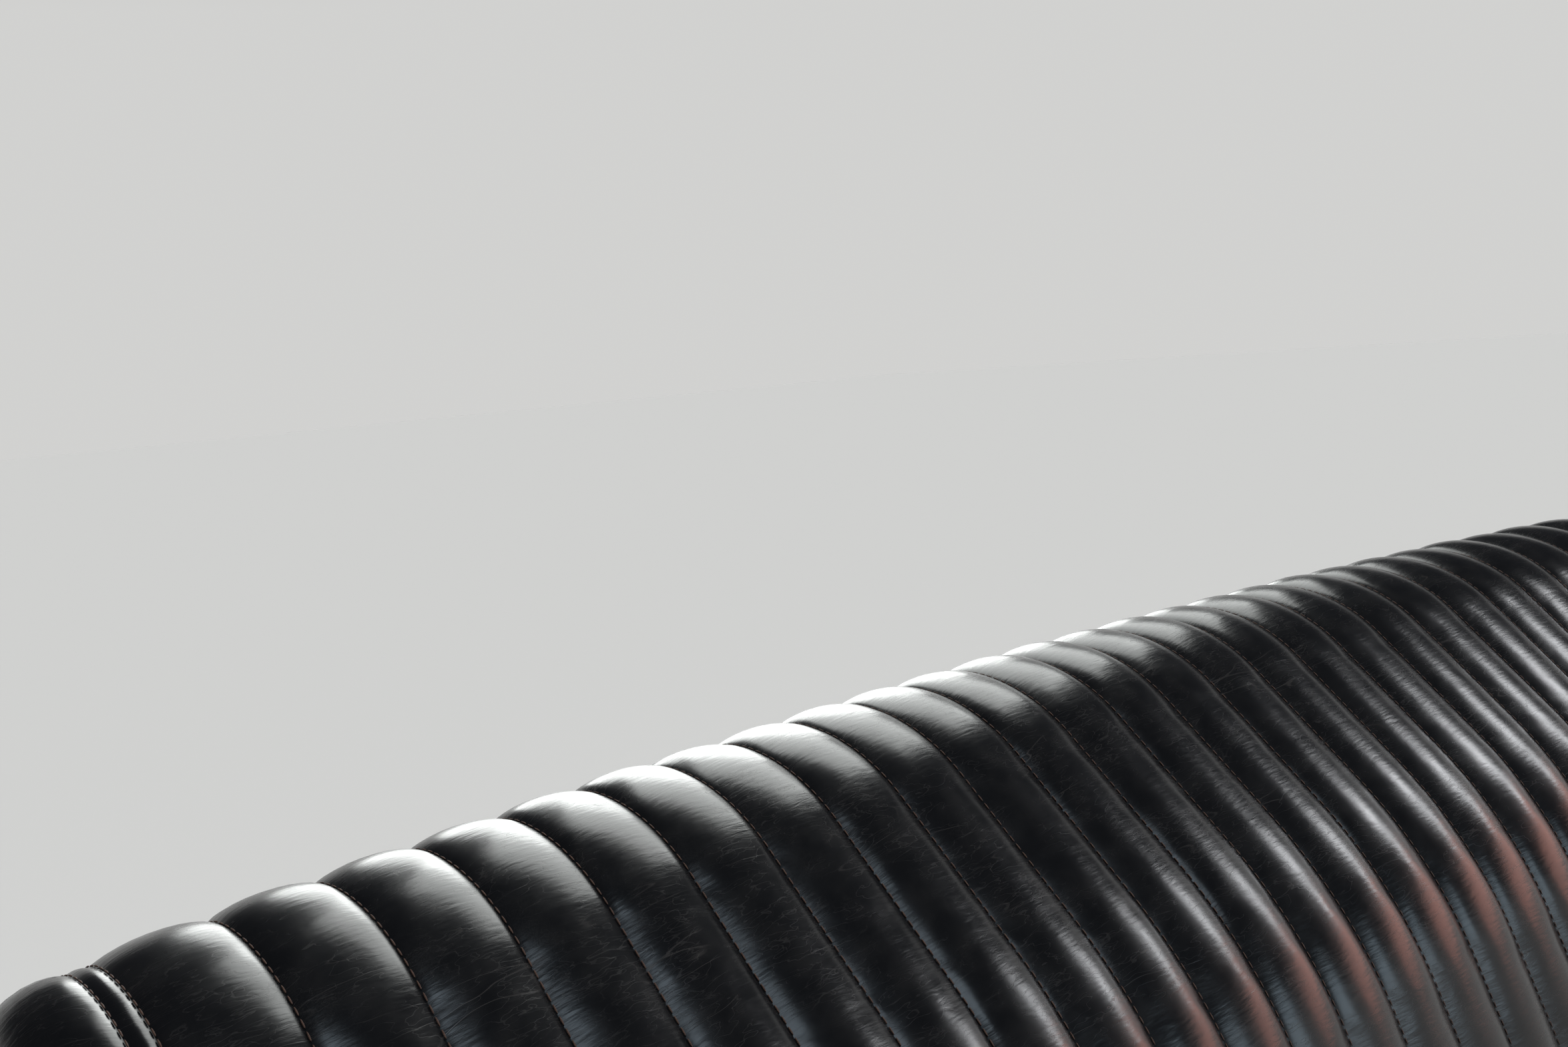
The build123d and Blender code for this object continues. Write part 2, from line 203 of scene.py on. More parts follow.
class Outline:
    """A side view drawn as runs and arcs, sampled as points with their outward normals."""

    def __init__(self, y, z, heading):
        """Starts at a point; a heading of 0 points to -Y, and a quarter turn points down."""
        self.here = np.array([y, z])
        self.heading = heading
        self.points = [self.here.copy()]
        self.normals = [self.outward(heading)]
        self.marks = {}

    @staticmethod
    def outward(heading):
        return np.array([-math.sin(heading), math.cos(heading)])

    @staticmethod
    def forward(heading):
        return np.array([-math.cos(heading), -math.sin(heading)])

    def run(self, length, count):
        """A straight run of that length, in so many steps."""
        for i in range(1, count + 1):
            self.points.append(self.here + self.forward(self.heading) * length * i / count)
            self.normals.append(self.outward(self.heading))
        self.here = self.points[-1].copy()

    def arc(self, radius, turn, count):
        """An arc that bends downwards through turn."""
        centre = self.here - self.outward(self.heading) * radius
        for i in range(1, count + 1):
            way = self.heading + turn * i / count
            self.points.append(centre + self.outward(way) * radius)
            self.normals.append(self.outward(way))
        self.heading += turn
        self.here = self.points[-1].copy()

    def reach(self, y, z, count):
        """A straight run to a point."""
        gap = np.array([y, z]) - self.here
        self.heading = math.atan2(-gap[1], -gap[0])
        self.run(float(np.hypot(*gap)), count)

    def mark(self, name):
        """Notes the number of the last point under a name."""
        self.marks[name] = len(self.points) - 1

    def lengths(self):
        """Distance along the outline at each of its points."""
        steps = np.diff(np.array(self.points), axis=0)
        return np.concatenate([[0], np.cumsum(np.hypot(steps[:, 0], steps[:, 1]))])

    def moved(self, reach):
        """The closed outline's points moved outwards by the reach at each of them.

        Its bottom stays straight between the moved front edge and the rear foot."""
        points = np.array(self.points[:-1])
        points = points + np.array(self.normals[:-1]) * np.asarray(reach)[:, None]
        first = self.marks["front_bottom"]
        steps = len(points) - first
        for i in range(1, steps):
            points[first + i] = points[first] + (points[0] - points[first]) * i / steps
        return points


def back_outline(x, rows):
    """Side view of the backrest at x: up its rear, over the top, down its front and back."""
    upper = leaned(slope_angle, lean(x))
    lower = leaned(face_angle, lean(x))
    rake = math.atan(math.tan(rear_rake) + lean(x))
    roll_radius = roll_drop / (1 - math.cos(upper))
    lumbar_radius = lumbar_drop / (math.cos(upper) - math.cos(lower))
    face_drop = crest_z - face_z - roll_drop - slope_drop - lumbar_drop
    face_drop -= tuck_radius * math.cos(lower)
    slope_length = slope_drop / math.sin(upper)
    face_length = face_drop / math.sin(lower)
    crest_y = face_y + roll_radius * math.sin(upper) + slope_length * math.cos(upper)
    crest_y += lumbar_radius * (math.sin(lower) - math.sin(upper)) + face_length * math.cos(lower)
    crest_y += tuck_radius * (1 - math.sin(lower))
    rear_y = crest_y + rear_radius * math.cos(rake)
    rear_z = crest_z - rear_radius * (1 + math.sin(rake))
    rear_foot_y = rear_y - (rear_z - back_bottom) * math.tan(rake)
    line = Outline(rear_foot_y, back_bottom, 0)
    line.reach(rear_y, rear_z, rows["rear"])
    line.mark("rear_seam")
    line.arc(rear_radius, math.pi / 2 + rake, rows["rear_roll"])
    line.mark("crest")
    line.heading = 0
    line.arc(roll_radius, upper, rows["roll"])
    line.run(slope_length, rows["slope"])
    line.arc(lumbar_radius, lower - upper, rows["lumbar"])
    line.run(face_length, rows["face"])
    line.arc(tuck_radius, tuck_angle - lower, rows["tuck"])
    line.run((line.here[1] - back_bottom) / math.sin(tuck_angle), rows["front"])
    line.mark("front_bottom")
    line.reach(rear_foot_y, back_bottom, rows["bottom"])
    return line


def cushion_outline(x, rows):
    """Side view of the cushion: up its rear, along the top, down its front and back."""
    line = Outline(cushion_rear_y, cushion_bottom, 0)
    line.reach(cushion_rear_y, cushion_rear_top - cushion_rear_bevel, rows["rear"])
    line.mark("rear_seam")
    line.heading = -math.pi / 2
    line.arc(cushion_rear_bevel, math.pi / 2 - cushion_tilt, rows["rear_roll"])
    line.mark("crest")
    line.heading = -cushion_tilt
    nose_y = cushion_front_y + cushion_front_radius * (1 + math.sin(cushion_tilt))
    line.run((line.here[0] - nose_y) / math.cos(cushion_tilt), rows["top"])
    turn = math.pi / 2 + cushion_tilt + cushion_front_tuck
    line.arc(cushion_front_radius, turn, rows["nose"])
    foot_y = line.here[0] + (line.here[1] - cushion_bottom) * math.tan(cushion_front_tuck)
    line.reach(foot_y, cushion_bottom, rows["front"])
    line.mark("front_bottom")
    line.reach(cushion_rear_y, cushion_bottom, rows["bottom"])
    return line


def pillow(share):
    """Rounded section between two seams, from 0 at each of them to 1 along the middle."""
    return (1 - abs(2 * share - 1) ** pillow_squareness) ** pillow_fullness


def pad_columns():
    """Mesh columns of a pad: their places along X, how far they stand out, and the seams."""
    columns = []
    for share, reach, seam in strip_columns[::-1]:
        columns.append((-half_pleats - share * strip_width, reach, seam))
    for i in range(pleat_count):
        for share in pleat_columns:
            x = -half_pleats + (i + share) * pleat_pitch
            columns.append((x, pleat_puff * pillow(share), share == 0))
    columns.append((half_pleats, 0.0, True))
    for share, reach, seam in strip_columns:
        columns.append((half_pleats + share * strip_width, reach, seam))
    return columns


def pad_shares(line):
    """Share of the full puff at each row: the pleats run out at the rear seam and the bottom."""
    count = len(line.points) - 1
    rear, front = line.marks["rear_seam"], line.marks["front_bottom"]
    shares = np.zeros(count)
    for row in range(rear, front + 1):
        shares[row] = min(1, (row - rear) / fade_rows) * min(1, (front - row) / fade_rows)
    return np.sqrt(shares)


def skin_mesh(name, places, sections, lengths):
    """A tube through side views at these places; its UV map is in metres, across and along."""
    count = len(sections[0])
    points = [(x, y, z) for x, section in zip(places, sections) for y, z in section]
    faces = []
    flat_map = []
    for c in range(len(places) - 1):
        a, b = c * count, (c + 1) * count
        u, w = places[c], places[c + 1]
        for row in range(count):
            after = (row + 1) % count
            faces.append((a + row, a + after, b + after, b + row))
            v, t = lengths[row], lengths[row + 1]
            flat_map += [u, v, u, t, w, t, w, v]
    mesh = bpy.data.meshes.new(name)
    mesh.from_pydata(points, [], faces)
    mesh.uv_layers.new(name="metres").data.foreach_set("uv", flat_map)
    mesh.update()
    piece = bpy.data.objects.new(name, mesh)
    bpy.context.scene.collection.objects.link(piece)
    return piece


def hold_seams(piece, columns, count):
    """Keeps the seams of a pad sharp, as creased edges."""
    mesh = piece.data
    crease = mesh.attributes.new("crease_edge", "FLOAT", "EDGE")
    seams = {c for c, column in enumerate(columns) if column[2]}
    for edge in mesh.edges:
        a, b = edge.vertices
        if a // count == b // count and a // count in seams:
            crease.data[edge.index].value = 1.0
            edge.use_edge_sharp = True


def apply_modifier(piece, kind, **settings):
    """Gives a piece a modifier and applies it."""
    modifier = piece.modifiers.new(kind.lower(), kind)
    for key, value in settings.items():
        setattr(modifier, key, value)
    bpy.context.view_layer.objects.active = piece
    bpy.ops.object.modifier_apply(modifier=modifier.name)


def swell(piece, held, cap):
    """Lets the wadding press the leather out between its seams, moving no point beyond cap."""
    mesh = piece.data
    rest = np.empty(len(mesh.vertices) * 3)
    mesh.vertices.foreach_get("co", rest)
    piece.vertex_groups.new(name="held").add(held, 1.0, "REPLACE")
    cloth = piece.modifiers.new("cloth", "CLOTH")
    leather = cloth.settings
    leather.vertex_group_mass = "held"
    leather.use_pressure = True
    leather.uniform_pressure_force = wadding_pressure
    leather.effector_weights.gravity = 0
    leather.shrink_min = leather_shrink
    cloth.collision_settings.use_collision = False
    scene = bpy.context.scene
    for step in range(1, settling_steps + 1):
        scene.frame_set(step)
    settled = piece.evaluated_get(bpy.context.evaluated_depsgraph_get()).data
    swollen = np.empty(len(mesh.vertices) * 3)
    settled.vertices.foreach_get("co", swollen)
    shift = (swollen - rest).reshape(-1, 3)
    size = np.linalg.norm(shift, axis=1)
    shift *= (cap * np.tanh(size / cap) / np.maximum(size, 1e-9))[:, None]
    piece.modifiers.remove(cloth)
    piece.vertex_groups.clear()
    mesh.vertices.foreach_set("co", (rest.reshape(-1, 3) + shift).ravel())
    mesh.update()
    scene.frame_set(1)


def vertex_map(mesh):
    """The UV map's place of each vertex."""
    loops = np.empty(len(mesh.loops) * 2)
    mesh.uv_layers["metres"].data.foreach_get("uv", loops)
    corners = np.empty(len(mesh.loops), dtype=np.int32)
    mesh.loops.foreach_get("vertex_index", corners)
    flat = np.zeros((len(mesh.vertices), 2))
    flat[corners] = loops.reshape(-1, 2)
    return flat


def seam_gap(x):
    """Distance from x to the nearest seam, and that seam's number."""
    place = (x + half_pleats) / pleat_pitch
    if 0 <= place <= pleat_count:
        return abs(place - round(place)) * pleat_pitch, round(place)
    edge = abs(x) - half_pleats
    return min(edge, abs(edge - strip_width)), strip_seam_number + round(place)


def wrinkle(piece, broad, fine, pucker):
    """Uneven wadding, soft folds across the pleats, and small gathers along the seams."""
    mesh = piece.data
    count = len(mesh.vertices)
    points = np.empty(count * 3)
    normals = np.empty(count * 3)
    mesh.vertices.foreach_get("co", points)
    mesh.vertices.foreach_get("normal", normals)
    rise = np.zeros(count)
    for i, (x, along) in enumerate(vertex_map(mesh)):
        gap, seam = seam_gap(x)
        pleat = math.floor((x + half_pleats) / pleat_pitch)
        free = min(1, gap / seam_hold)
        swing = noise.noise((x * swing_counts[0], along * swing_counts[1], pleat * swing_step))
        patch = noise.noise((x * patch_counts[0], along * patch_counts[1], patch_layer))
        patch = max(0, patch + patch_cover)
        fold = noise.noise((x * fold_counts[0], along * fold_counts[1], pleat * fold_step))
        gather = noise.noise((seam * gather_step, along * gather_count, gather_layer))
        gather *= math.exp(-gap / gather_reach)
        rise[i] = free * (broad * swing + fine * patch * fold + pucker * gather)
    moved = points.reshape(-1, 3) + normals.reshape(-1, 3) * rise[:, None]
    mesh.vertices.foreach_set("co", moved.ravel())
    mesh.update()


def close_ends(piece):
    """Closes the open ends of a tube with flat faces, and points all faces outwards."""
    shape = bmesh.new()
    shape.from_mesh(piece.data)
    rims = [edge for edge in shape.edges if edge.is_boundary]
    bmesh.ops.holes_fill(shape, edges=rims, sides=0)
    for edge in rims:
        edge.smooth = False
    bmesh.ops.recalc_face_normals(shape, faces=shape.faces)
    shape.to_mesh(piece.data)
    shape.free()


def smooth(piece):
    """Shades a piece smooth, apart from its sharp edges."""
    piece.data.polygons.foreach_set("use_smooth", [True] * len(piece.data.polygons))


def seat_on(piece, body, slot, *replaced):
    """Parents a piece to the body it rides on and hides the solids it stands for; the slot is not
    used.
    """
    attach(piece, body)
    if replaced:
        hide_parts(*replaced)


def pleated_pad(name, outline, rows):
    """Pad of sewn pleats with a narrow strip at each end, swollen and wrinkled."""
    columns = pad_columns()
    lines = [outline(x, rows) for x, reach, seam in columns]
    shares = pad_shares(lines[0])
    sections = [line.moved(shares * column[1]) for line, column in zip(lines, columns)]
    middle = outline(0, rows)
    piece = skin_mesh(name, [column[0] for column in columns], sections, middle.lengths())
    count = len(sections[0])
    hold_seams(piece, columns, count)
    held = []
    rear, front = lines[0].marks["rear_seam"], lines[0].marks["front_bottom"]
    for c, (x, reach, seam) in enumerate(columns):
        for row in range(count):
            if seam or abs(x) > half_pleats or row <= rear or row >= front:
                held.append(c * count + row)
    swell(piece, held, swell_limit)
    smooth(piece)
    apply_modifier(piece, "SUBSURF", levels=1, render_levels=1)
    wrinkle(piece, *pad_unevenness)
    close_ends(piece)
    return piece


back_pleats = pleated_pad("back_pleats", back_outline, back_rows)
seat_on(back_pleats, "backrest", "leather", "back_pad")
cushion_pleats = pleated_pad("cushion_pleats", cushion_outline, cushion_rows)
seat_on(cushion_pleats, "base", "leather", "cushion_pad")


# Plain rounded ends beside the pleats
def end_shares(line):
    """Share of the end's rounding at each row: none on its rear face."""
    rear, crest = line.marks["rear_seam"], line.marks["crest"]
    shares = np.ones(len(line.points) - 1)
    for row in range(crest):
        shares[row] = math.sin(math.pi / 2 * max(0, row - rear) / (crest - rear)) ** 2
    return shares


def end_sections(outline, rows, side):
    """Side views of an end from its seam outwards, with their places along X."""
    places, sections = [], []
    for turn in end_turns:
        x = side * (half_insert + end_width * math.sin(turn))
        line = outline(x, rows)
        reach = end_puff * pillow(turn / end_turns[-1]) - end_round * (1 - math.cos(turn))
        places.append(x)
        sections.append(line.moved(end_shares(line) * reach))
    return places, sections


def rounded_end(name, outline, rows, side):
    """Plain pillowy end of a cushion, with a slightly stuffed side."""
    places, sections = end_sections(outline, rows, side)
    piece = skin_mesh(name, places, sections, outline(0, rows).lengths())
    smooth(piece)
    wrinkle(piece, *end_unevenness)
    close_ends(piece)
    shape = bmesh.new()
    shape.from_mesh(piece.data)
    outer = max(shape.faces, key=lambda face: side * face.calc_center_median().x)
    outer.smooth = True
    for width, depth in side_insets:
        bmesh.ops.inset_region(shape, faces=[outer], thickness=width, depth=depth)
    shape.to_mesh(piece.data)
    shape.free()
    return piece


ends = []
for side, hand in ((1, "left"), (-1, "right")):
    end = rounded_end(f"back_side_{hand}", back_outline, back_rows, side)
    seat_on(end, "backrest", "leather", f"back_end_{hand}")
    ends.append(end)
    end = rounded_end(f"cushion_side_{hand}", cushion_outline, cushion_rows, side)
    seat_on(end, "base", "leather", f"cushion_end_{hand}")
    ends.append(end)


# Piping, thread and the rear panel's covering
def tube_along(name, paths, radius, closed=True):
    """Round piping or wire along paths, as a mesh."""
    curve = bpy.data.curves.new(name, "CURVE")
    curve.dimensions = "3D"
    curve.bevel_depth = radius
    curve.bevel_resolution = tube_smoothness
    curve.use_fill_caps = True
    for path in paths:
        spline = curve.splines.new("POLY")
        spline.points.add(len(path) - 1)
        for point, place in zip(spline.points, path):
            point.co = (*place, 1)
        spline.use_cyclic_u = closed
    piece = bpy.data.objects.new(name, curve)
    bpy.context.scene.collection.objects.link(piece)
    bpy.ops.object.select_all(action="DESELECT")
    piece.select_set(True)
    bpy.context.view_layer.objects.active = piece
    bpy.ops.object.convert(target="MESH")
    smooth(piece)
    return piece


def end_piping(name, outline, rows, side):
    """Piping around the edge of an end's side."""
    places, sections = end_sections(outline, rows, side)
    path = [(places[-1], y, z) for y, z in sections[-1]]
    return tube_along(name, [path], piping_radius)


pipings = []
for side, hand in ((1, "left"), (-1, "right")):
    piping = end_piping(f"back_piping_{hand}", back_outline, back_rows, side)
    seat_on(piping, "backrest", "leather")
    pipings.append(piping)
    piping = end_piping(f"cushion_piping_{hand}", cushion_outline, cushion_rows, side)
    seat_on(piping, "base", "leather")
    pipings.append(piping)


def one_stitch():
    """Vertices and faces of one stitch, lying along X at the origin."""
    bpy.ops.object.select_all(action="DESELECT")
    bpy.ops.mesh.primitive_uv_sphere_add(segments=stitch_sides, ring_count=stitch_rings, radius=1)
    stitch = bpy.context.object
    points = np.array([tuple(vertex.co) for vertex in stitch.data.vertices])
    faces = sorted(tuple(face.vertices) for face in stitch.data.polygons)
    bpy.data.objects.remove(stitch)
    points = points[:, [2, 0, 1]]
    points *= (stitch_length / 2, thread_radius, thread_radius)
    return points, faces


def seam_stitches(name, outline, rows):
    """Thread that shows in the seams, stitch by stitch, as one mesh."""
    stitch, stitch_faces = one_stitch()
    points, faces = [], []
    total = 0
    seams = [i * pleat_pitch - half_pleats for i in range(pleat_count + 1)]
    for x in [-half_insert, *seams, half_insert]:
        line = outline(x, rows)
        first = line.marks["rear_seam"] + rows_without_thread
        last = line.marks["front_bottom"] - rows_without_thread
        path = np.array(line.points[first:last + 1])
        normals = np.array(line.normals[first:last + 1])
        along = line.lengths()[first:last + 1]
        stops = np.arange(along[0], along[-1], stitch_pitch)
        for stop in stops:
            place = np.array([np.interp(stop, along, path[:, k]) for k in (0, 1)])
            normal = np.array([np.interp(stop, along, normals[:, k]) for k in (0, 1)])
            normal /= np.hypot(*normal)
            place = place + normal * thread_rise
            axes = np.array([(0, -normal[1], normal[0]), (1, 0, 0), (0, normal[0], normal[1])])
            points.append(stitch @ axes + np.array([x, place[0], place[1]]))
            faces += [tuple(total + k for k in face) for face in stitch_faces]
            total += len(stitch)
    mesh = bpy.data.meshes.new(name)
    mesh.from_pydata(np.concatenate(points), [], faces)
    mesh.update()
    piece = bpy.data.objects.new(name, mesh)
    bpy.context.scene.collection.objects.link(piece)
    smooth(piece)
    return piece


back_thread = seam_stitches("back_thread", back_outline, back_rows)
seat_on(back_thread, "backrest", "leather")
cushion_thread = seam_stitches("cushion_thread", cushion_outline, cushion_rows)
seat_on(cushion_thread, "base", "leather")


def edge_round(distance):
    """Share of the full thickness at a distance from a rounded edge."""
    return math.sqrt(1 - (1 - min(1, distance / panel_edge_radius)) ** 2)


def panel_stations(half_length, count):
    """Distances along the panel, closer together at its rounded edges."""
    edge = [panel_edge_radius * share for share in panel_edge_shares]
    inner = np.linspace(edge[-1], 2 * half_length - edge[-1], count)[1:-1]
    return edge + list(inner) + [2 * half_length - step for step in edge[::-1]]


def rear_face(x):
    """Side view of the backrest's rear at x: its top, ways down and outwards, and its length."""
    line = back_outline(x, back_rows)
    top, foot = line.points[line.marks["rear_seam"]], line.points[0]
    length = float(np.hypot(*(foot - top)))
    down = (foot - top) / length
    return top, down, np.array([-down[1], down[0]]), length


def rear_panel(name):
    """Covered board on the back of the backrest, bowed with it."""
    places, sections = [], []
    for step in panel_stations(half_insert, panel_columns):
        x = step - half_insert
        top, down, outwards, length = rear_face(x)
        foot = top + down * length
        half_length = length / 2 - panel_margin
        side_share = edge_round(min(step, 2 * half_insert - step))
        section = []
        for distance in panel_stations(half_length, panel_rows):
            share = side_share * edge_round(min(distance, 2 * half_length - distance))
            wave = (x * panel_wave_counts[0], distance * panel_wave_counts[1], panel_wave_layer)
            swell_out = panel_swell * noise.noise(wave) * share
            out = panel_clearance + panel_thickness * share + swell_out
            section.append(top + down * (panel_margin + distance) + outwards * out)
        lower_in = foot - down * panel_margin + outwards * panel_clearance * 0.5
        upper_in = top + down * panel_margin + outwards * panel_clearance * 0.5
        places.append(x)
        sections.append(np.array([upper_in, *section, lower_in]))
    lengths = np.linspace(0, panel_map_length, len(sections[0]) + 1)
    piece = skin_mesh(name, places, sections, lengths)
    smooth(piece)
    close_ends(piece)
    return piece


def panel_piping(name):
    """Piping around the edge of the rear panel."""
    half_width = half_insert + piping_radius

    def place(x, share):
        top, down, outwards, length = rear_face(x)
        margin = panel_margin - piping_radius
        distance = margin + (length - 2 * margin) * share
        y, z = top + down * distance + outwards * piping_radius
        return x, y, z

    across = np.linspace(-half_width, half_width, panel_piping_points)
    along = np.linspace(0, 1, panel_piping_rises)
    path = [place(x, 0) for x in across]
    path += [place(half_width, share) for share in along[1:-1]]
    path += [place(x, 1) for x in across[::-1]]
    path += [place(-half_width, share) for share in along[-2:0:-1]]
    return tube_along(name, [path], piping_radius)


panel = rear_panel("rear_panel")
seat_on(panel, "backrest", "panel", "back_panel")
welt = panel_piping("panel_piping")
seat_on(welt, "backrest", "leather")
pipings.append(welt)


# Turned heads, bolts, the lever's grip and the springs
def turned(name, profile, segments, place, axis):
    """A turned piece: a profile of distances and radii, spun around an axis from a place."""
    mesh = bpy.data.meshes.new(name)
    points = [(distance, radius, 0) for distance, radius in profile]
    mesh.from_pydata(points, [(i, i + 1) for i in range(len(points) - 1)], [])
    piece = bpy.data.objects.new(name, mesh)
    bpy.context.scene.collection.objects.link(piece)
    apply_modifier(piece, "SCREW", axis="X", steps=segments, render_steps=segments,
                   use_merge_vertices=True, merge_threshold=1e-6)
    turn = Vector(axis).to_track_quat("X", "Z").to_matrix().to_4x4()
    piece.data.transform(Matrix.Translation(place) @ turn)
    shape = bmesh.new()
    shape.from_mesh(piece.data)
    bmesh.ops.recalc_face_normals(shape, faces=shape.faces)
    shape.to_mesh(piece.data)
    shape.free()
    return piece


def joined(name, parts):
    """Several small pieces as one."""
    bpy.ops.object.select_all(action="DESELECT")
    for part in parts:
        part.select_set(True)
    bpy.context.view_layer.objects.active = parts[0]
    bpy.ops.object.join()
    parts[0].name = name
    return parts[0]


def rounded(piece):
    """Shades a turned piece smooth, with its corners sharp."""
    smooth(piece)
    piece.data.set_sharp_from_angle(angle=corner_angle)


def arm_bolts(name, side):
    """Bolt heads on washers that hold a hinge arm to the backrest."""
    parts = []
    for height in bolt_heights:
        y = hinge_y + height * math.sin(arm_rake)
        z = hinge_z + height * math.cos(arm_rake)
        place = (side * arm_face, y, z)
        for profile, segments in ((washer_profile, round_segments), (bolt_profile, bolt_flats)):
            parts.append(turned("bolt_part", profile, segments, place, (side, 0, 0)))
    return joined(name, parts)


def sinuous_springs(name):
    """Round-wire zigzag springs across the cushion frame."""
    low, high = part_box("cushion_springs")
    wire = (high.z - low.z) / 2
    first, last = low.y + wire, high.y - wire
    bends = round((last - first) / spring_zigzag)
    paths = []
    for i in range(spring_count):
        x = (i - (spring_count - 1) / 2) * spring_pitch
        path = []
        for step in range(bends * points_per_bend + 1):
            share = step / points_per_bend
            swing = math.cos(math.pi * share)
            swing = math.copysign(abs(swing) ** bend_squareness, swing)
            y = first + (last - first) * share / bends
            path.append((x + spring_reach * swing, y, low.z + wire))
        paths.append(path)
    return tube_along(name, paths, wire, closed=False)


heads, bolts = [], []
for side, hand in ((1, "left"), (-1, "right")):
    pin_end = (side * hinge_high.x, hinge_y, hinge_z)
    head = turned(f"pin_head_{hand}", head_profile, round_segments, pin_end, (side, 0, 0))
    rounded(head)
    seat_on(head, "base", "bright")
    heads.append(head)
    bolt = arm_bolts(f"arm_bolts_{hand}", side)
    seat_on(bolt, "backrest", "track_steel")
    bolts.append(bolt)

knob_low, knob_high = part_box("release_knob")
knob_start = ((knob_low.x + knob_high.x) / 2, knob_high.y, (knob_low.z + knob_high.z) / 2)
grip = turned("lever_grip", knob_profile, knob_segments, knob_start, (0, -1, 0))
rounded(grip)
seat_on(grip, "base", "knob", "release_knob")
springs = sinuous_springs("seat_springs")
seat_on(springs, "base", "spring_steel", "cushion_springs")


# Finishes
underside_rise = 0.002
underside_slant = -0.9


def line_underside(piece, material):
    """Gives the flat underside of a cushion its lining."""
    piece.data.materials.append(material)
    bottom = min(vertex.co.z for vertex in piece.data.vertices)
    for face in piece.data.polygons:
        if face.center.z < bottom + underside_rise and face.normal.z < underside_slant:
            face.material_index = 1


class Value:
    """A number or vector that varies over a surface; sums on it add nodes to its material."""

    def __init__(self, finish, socket):
        self.finish = finish
        self.socket = socket

    def joined(self, operation, first, second):
        return self.finish.node("ShaderNodeMath", {"operation": operation}, {0: first, 1: second})

    def __add__(self, other):
        return self.joined("ADD", self, other)

    __radd__ = __add__

    def __sub__(self, other):
        return self.joined("SUBTRACT", self, other)

    def __rsub__(self, other):
        return self.joined("SUBTRACT", other, self)

    def __mul__(self, other):
        return self.joined("MULTIPLY", self, other)

    __rmul__ = __mul__

    def __abs__(self):
        return self.finish.node("ShaderNodeMath", {"operation": "ABSOLUTE"}, {0: self})


class Finish:
    """The nodes of one material or of the world."""

    def __init__(self, owner):
        owner.use_nodes = True
        self.owner = owner
        self.tree = owner.node_tree

    def node(self, kind, settings, inputs, output=0):
        """Adds a node, its settings first and then the values or links of its sockets."""
        made = self.tree.nodes.new(kind)
        for key, value in settings.items():
            setattr(made, key, value)
        for key, value in inputs.items():
            self.give(made.inputs[key], value)
        return Value(self, made.outputs[output])

    def give(self, socket, value):
        """Links a value to a socket, or sets it there."""
        if isinstance(value, Value):
            self.tree.links.new(value.socket, socket)
        else:
            socket.default_value = value

    def noise(self, place, scale, detail=3, roughness=0.5):
        return self.node("ShaderNodeTexNoise", {},
                         {"Vector": place, "Scale": scale, "Detail": detail, "Roughness": roughness})

    def hairlines(self, place, scale, turn, width):
        """Thin wandering lines, where a stretched noise passes its middle value."""
        swing = self.noise(self.stretched(place, scale, turn), 1.0, 2)
        return self.ramp(abs(swing - 0.5), 0, width, 1, 0)

    def ramp(self, value, start, end, low=0.0, high=1.0):
        """Maps a range of a value to another range, smoothly and clamped."""
        ranges = {"Value": value, "From Min": start, "From Max": end, "To Min": low, "To Max": high}
        return self.node("ShaderNodeMapRange", {"interpolation_type": "SMOOTHSTEP"}, ranges)

    def blend(self, share, first, second):
        """A colour between two others."""
        return self.node("ShaderNodeMix", {"data_type": "RGBA"}, {0: share, 6: first, 7: second}, 2)

    def bent(self, place, scale, amount):
        """A place shifted by noise, so that lines on it wander."""
        drift = self.node("ShaderNodeTexNoise", {},
                          {"Vector": place, "Scale": scale, "Detail": 2}, "Color")
        middle = (0.5, 0.5, 0.5)
        drift = self.node("ShaderNodeVectorMath", {"operation": "SUBTRACT"}, {0: drift, 1: middle})
        drift = self.node("ShaderNodeVectorMath", {"operation": "SCALE"}, {0: drift, "Scale": amount})
        return self.node("ShaderNodeVectorMath", {"operation": "ADD"}, {0: place, 1: drift})

    def stretched(self, place, scale, turn=0.0):
        """A place scaled along each axis, and turned about Z first."""
        return self.node("ShaderNodeMapping", {},
                         {"Vector": place, "Rotation": (0, 0, turn), "Scale": scale})

    def surface(self, values, height=None, depth=0.001):
        """Sets the sockets of the material's shader, and its bump from a height."""
        shader = self.tree.nodes["Principled BSDF"]
        for key, value in values.items():
            self.give(shader.inputs[key], value)
        if height is not None:
            bump = self.node("ShaderNodeBump", {},
                             {"Height": height, "Distance": depth, "Strength": 1.0})
            self.give(shader.inputs["Normal"], bump)
        return self.owner

    def metres(self):
        """The UV map, in metres across and along the leather."""
        return self.node("ShaderNodeUVMap", {"uv_map": "metres"}, {})

    def place(self):
        """Object coordinates, in metres."""
        return self.node("ShaderNodeTexCoord", {}, {}, "Object")


def new_finish(name):
    """A fresh material and its nodes."""
    return Finish(bpy.data.materials.new(name))


# Families of creases: counts per metre across, along and through the leather, turn and width
across_creases = ((30, 130, 60), 0.0, 0.010)
slanted_creases = ((45, 150, 60), 0.5, 0.011)
counter_creases = ((40, 160, 60), -0.55, 0.012)
lengthwise_creases = ((5, 34, 20), 0.1, 0.004)

# Soft folds and streaks in the same counts, and the leather's tones
fold_bumps = (48, 170, 60)
streak_bumps = (80, 420, 60)
streak_turn = 0.12
black_low = (0.0030, 0.0032, 0.0038, 1)
black_high = (0.0050, 0.0050, 0.0054, 1)
# Lighter crease colour: worn crease lines, together with a painted highlight where the hair-thin
# creases catch light
crease_wear_and_highlight = (0.050, 0.046, 0.044, 1)


